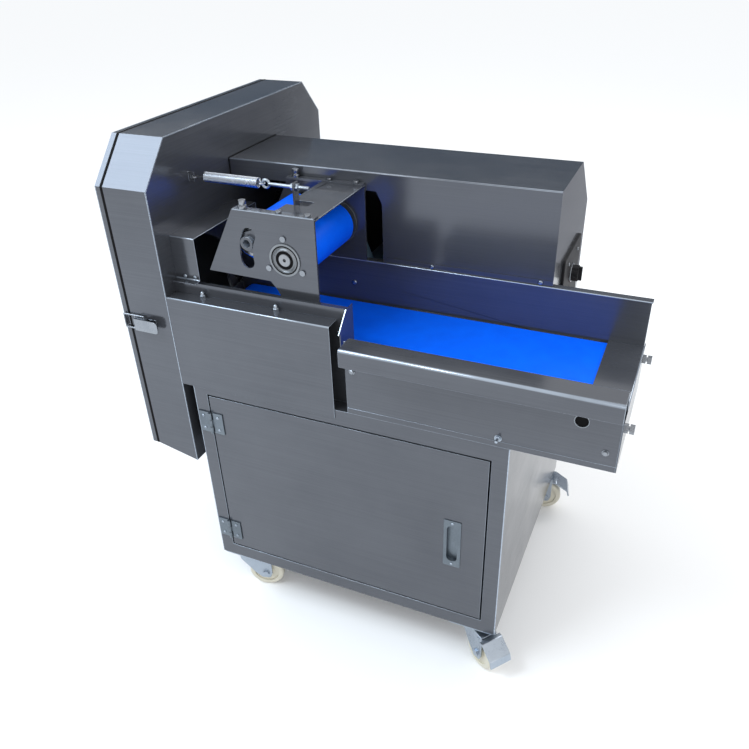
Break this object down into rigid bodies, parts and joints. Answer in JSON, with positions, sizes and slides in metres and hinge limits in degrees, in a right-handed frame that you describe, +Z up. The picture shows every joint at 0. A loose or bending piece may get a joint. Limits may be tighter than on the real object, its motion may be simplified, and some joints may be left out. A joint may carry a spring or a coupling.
{
  "type": "vegetable cutting machine",
  "caption": "Wheeled vegetable cutting machine with a belt-fed trough, a sprung press belt and a side-mounted housing for a rotary knife.",
  "frame": {"origin": "on the floor, in the middle of the outer box in plan", "axes": "+X from the knife housing to the feed end, -Y the door side, +Z up"},
  "size_m": [0.9004, 0.6643, 0.9545],
  "materials": {
    "stainless_sheet": "brushed",
    "zinc_fittings": "zinc plated",
    "turned_steel": "turned",
    "cast": "painted grey",
    "motor_paint": "satin",
    "belt": "smooth food belt",
    "black_rubber": "matt",
    "wheel": "polyurethane",
    "black_plastic": "matt",
    "red_plastic": "gloss"
  },
  "bodies": {
    "base": {"cabinet_shell": "stainless_sheet", "cabinet_hinge_leaves": "zinc_fittings", "cable_gland": "black_plastic", "caster_plates": "zinc_fittings", "cutter_housing": "stainless_sheet", "lid_seal": "black_rubber", "lid_hinge_posts": "zinc_fittings", "latch_base": "zinc_fittings", "trough": "stainless_sheet", "slider_bed": "stainless_sheet", "front_rail": "stainless_sheet", "side_guide": "stainless_sheet", "front_guard": "stainless_sheet", "end_cover": "stainless_sheet", "lower_belt": "belt", "take_up_blocks": "cast", "tension_bolts": "zinc_fittings", "press_side_plates": "stainless_sheet", "press_top_plate": "stainless_sheet", "flange_bearings": "cast", "press_screws": "zinc_fittings", "tension_spring": "zinc_fittings", "throat_hood": "stainless_sheet", "knife_bearing_housing": "cast", "drive_belt": "black_rubber", "knife_motor": "motor_paint", "conveyor_gearmotor": "motor_paint", "motor_box_cover": "stainless_sheet", "control_panel": "black_plastic"},
    "door": {"cabinet_door": "stainless_sheet", "door_pull": "stainless_sheet", "door_hinge_leaves": "zinc_fittings"},
    "lid": {"housing_lid": "stainless_sheet"},
    "latch_lever": {"latch_lever": "zinc_fittings"},
    "latch_bail": {"latch_bail": "zinc_fittings"},
    "drive_roller": {"drive_roller": "turned_steel"},
    "tail_roller": {"tail_roller": "turned_steel"},
    "entry_roller": {"entry_roller": "turned_steel"},
    "press_frame": {"swing_frame": "stainless_sheet", "spring_eyebolt": "zinc_fittings", "press_belt": "belt"},
    "nip_roller": {"nip_roller": "turned_steel"},
    "knife_rotor": {"knife_shaft": "turned_steel", "knife_disc": "turned_steel", "knives": "turned_steel", "knife_pulley": "cast"},
    "motor_rotor": {"motor_shaft": "turned_steel", "motor_pulley": "cast"},
    "speed_knob": {"speed_knob": "black_plastic"},
    "stop_button": {"stop_button": "red_plastic"},
    "caster_front_left": {"caster_fork_front_left": "zinc_fittings"},
    "wheel_front_left": {"caster_wheel_front_left": "wheel"},
    "caster_front_right": {"caster_fork_front_right": "zinc_fittings"},
    "wheel_front_right": {"caster_wheel_front_right": "wheel"},
    "pedal_front_right": {"brake_pedal_front_right": "zinc_fittings"},
    "caster_rear_right": {"caster_fork_rear_right": "zinc_fittings"},
    "wheel_rear_right": {"caster_wheel_rear_right": "wheel"},
    "pedal_rear_right": {"brake_pedal_rear_right": "zinc_fittings"},
    "caster_rear_left": {"caster_fork_rear_left": "zinc_fittings"},
    "wheel_rear_left": {"caster_wheel_rear_left": "wheel"}
  },
  "joints": [
    {"name": "door_hinge", "type": "hinge", "parent": "base", "child": "door", "pos_m": [-0.29525, -0.28965, 0.3], "axis": [0, 0, -1], "range_deg": [0, 120]},
    {"name": "lid_hinge", "type": "hinge", "parent": "base", "child": "lid", "pos_m": [-0.4435, 0.32615, 0.538], "axis": [0, 0, -1], "range_deg": [0, 110]},
    {"name": "latch_lever_hinge", "type": "hinge", "parent": "base", "child": "latch_lever", "pos_m": [-0.41675, -0.29215, 0.638], "axis": [0, 0, -1], "range_deg": [0, 90]},
    {"name": "latch_bail_hinge", "type": "hinge", "parent": "latch_lever", "child": "latch_bail", "pos_m": [-0.40275, -0.29165, 0.638], "axis": [0, 0, 1], "range_deg": [0, 90]},
    {"name": "drive_spin", "type": "hinge", "parent": "base", "child": "drive_roller", "pos_m": [-0.31275, -0.16615, 0.6027], "axis": [0, 1, 0], "continuous": true},
    {"name": "tail_spin", "type": "hinge", "parent": "base", "child": "tail_roller", "pos_m": [0.39325, -0.16615, 0.6027], "axis": [0, 1, 0], "continuous": true},
    {"name": "entry_spin", "type": "hinge", "parent": "base", "child": "entry_roller", "pos_m": [-0.12675, -0.16615, 0.7805], "axis": [0, 1, 0], "continuous": true},
    {"name": "press_swing", "type": "hinge", "parent": "base", "child": "press_frame", "pos_m": [-0.12675, -0.14515, 0.7805], "axis": [0, 1, 0], "range_deg": [-25, 13], "stiffness_Nm_per_rad": 40, "springref_deg": 2.01, "deforming": ["tension_spring"]},
    {"name": "nip_spin", "type": "hinge", "parent": "press_frame", "child": "nip_roller", "pos_m": [-0.19704, -0.14515, 0.79946], "axis": [0, 1, 0], "continuous": true},
    {"name": "knife_spin", "type": "hinge", "parent": "base", "child": "knife_rotor", "pos_m": [-0.34675, 0.02585, 0.662], "axis": [1, 0, 0], "continuous": true},
    {"name": "motor_spin", "type": "hinge", "parent": "base", "child": "motor_rotor", "pos_m": [-0.21275, 0.02585, 0.2015], "axis": [1, 0, 0], "continuous": true},
    {"name": "speed_knob_turn", "type": "hinge", "parent": "base", "child": "speed_knob", "pos_m": [0.27825, 0.10185, 0.677], "axis": [1, 0, 0], "range_deg": [-135, 135]},
    {"name": "stop_button_press", "type": "slide", "parent": "base", "child": "stop_button", "axis": [-1, 0, 0], "range_m": [0, 0.004], "stiffness_N_per_m": 1500},
    {"name": "swivel_front_left", "type": "hinge", "parent": "base", "child": "caster_front_left", "pos_m": [-0.27775, -0.25315, 0.09], "axis": [0, 0, 1], "continuous": true},
    {"name": "roll_front_left", "type": "hinge", "parent": "caster_front_left", "child": "wheel_front_left", "pos_m": [-0.24699, -0.24433, 0.0375], "axis": [0.2756, -0.9613, 0], "continuous": true},
    {"name": "swivel_front_right", "type": "hinge", "parent": "base", "child": "caster_front_right", "pos_m": [0.22825, -0.25315, 0.09], "axis": [0, 0, 1], "continuous": true},
    {"name": "roll_front_right", "type": "hinge", "parent": "caster_front_right", "child": "wheel_front_right", "pos_m": [0.25347, -0.27285, 0.0375], "axis": [-0.6157, -0.788, 0], "continuous": true},
    {"name": "brake_front_right", "type": "hinge", "parent": "caster_front_right", "child": "pedal_front_right", "pos_m": [0.25662, -0.27531, 0.082], "axis": [0.6157, 0.788, 0], "range_deg": [0, 18]},
    {"name": "swivel_rear_right", "type": "hinge", "parent": "base", "child": "caster_rear_right", "pos_m": [0.22825, 0.22085, 0.09], "axis": [0, 0, 1], "continuous": true},
    {"name": "roll_rear_right", "type": "hinge", "parent": "caster_rear_right", "child": "wheel_rear_right", "pos_m": [0.25943, 0.22805, 0.0375], "axis": [0.225, -0.9744, 0], "continuous": true},
    {"name": "brake_rear_right", "type": "hinge", "parent": "caster_rear_right", "child": "pedal_rear_right", "pos_m": [0.26333, 0.22895, 0.082], "axis": [-0.225, 0.9744, 0], "range_deg": [0, 18]},
    {"name": "swivel_rear_left", "type": "hinge", "parent": "base", "child": "caster_rear_left", "pos_m": [-0.27775, 0.22085, 0.09], "axis": [0, 0, 1], "continuous": true},
    {"name": "roll_rear_left", "type": "hinge", "parent": "caster_rear_left", "child": "wheel_rear_left", "pos_m": [-0.30546, 0.23685, 0.0375], "axis": [0.5, 0.866, 0], "continuous": true}
  ],
  "couplings": [
    {"joint": "latch_bail_hinge", "follows": "latch_lever_hinge", "ratio": 1},
    {"joint": "tail_spin", "follows": "drive_spin", "ratio": 1},
    {"joint": "entry_spin", "follows": "drive_spin", "ratio": -0.66921},
    {"joint": "nip_spin", "follows": "drive_spin", "ratio": -0.89761},
    {"joint": "motor_spin", "follows": "knife_spin", "ratio": 1.2424}
  ]
}
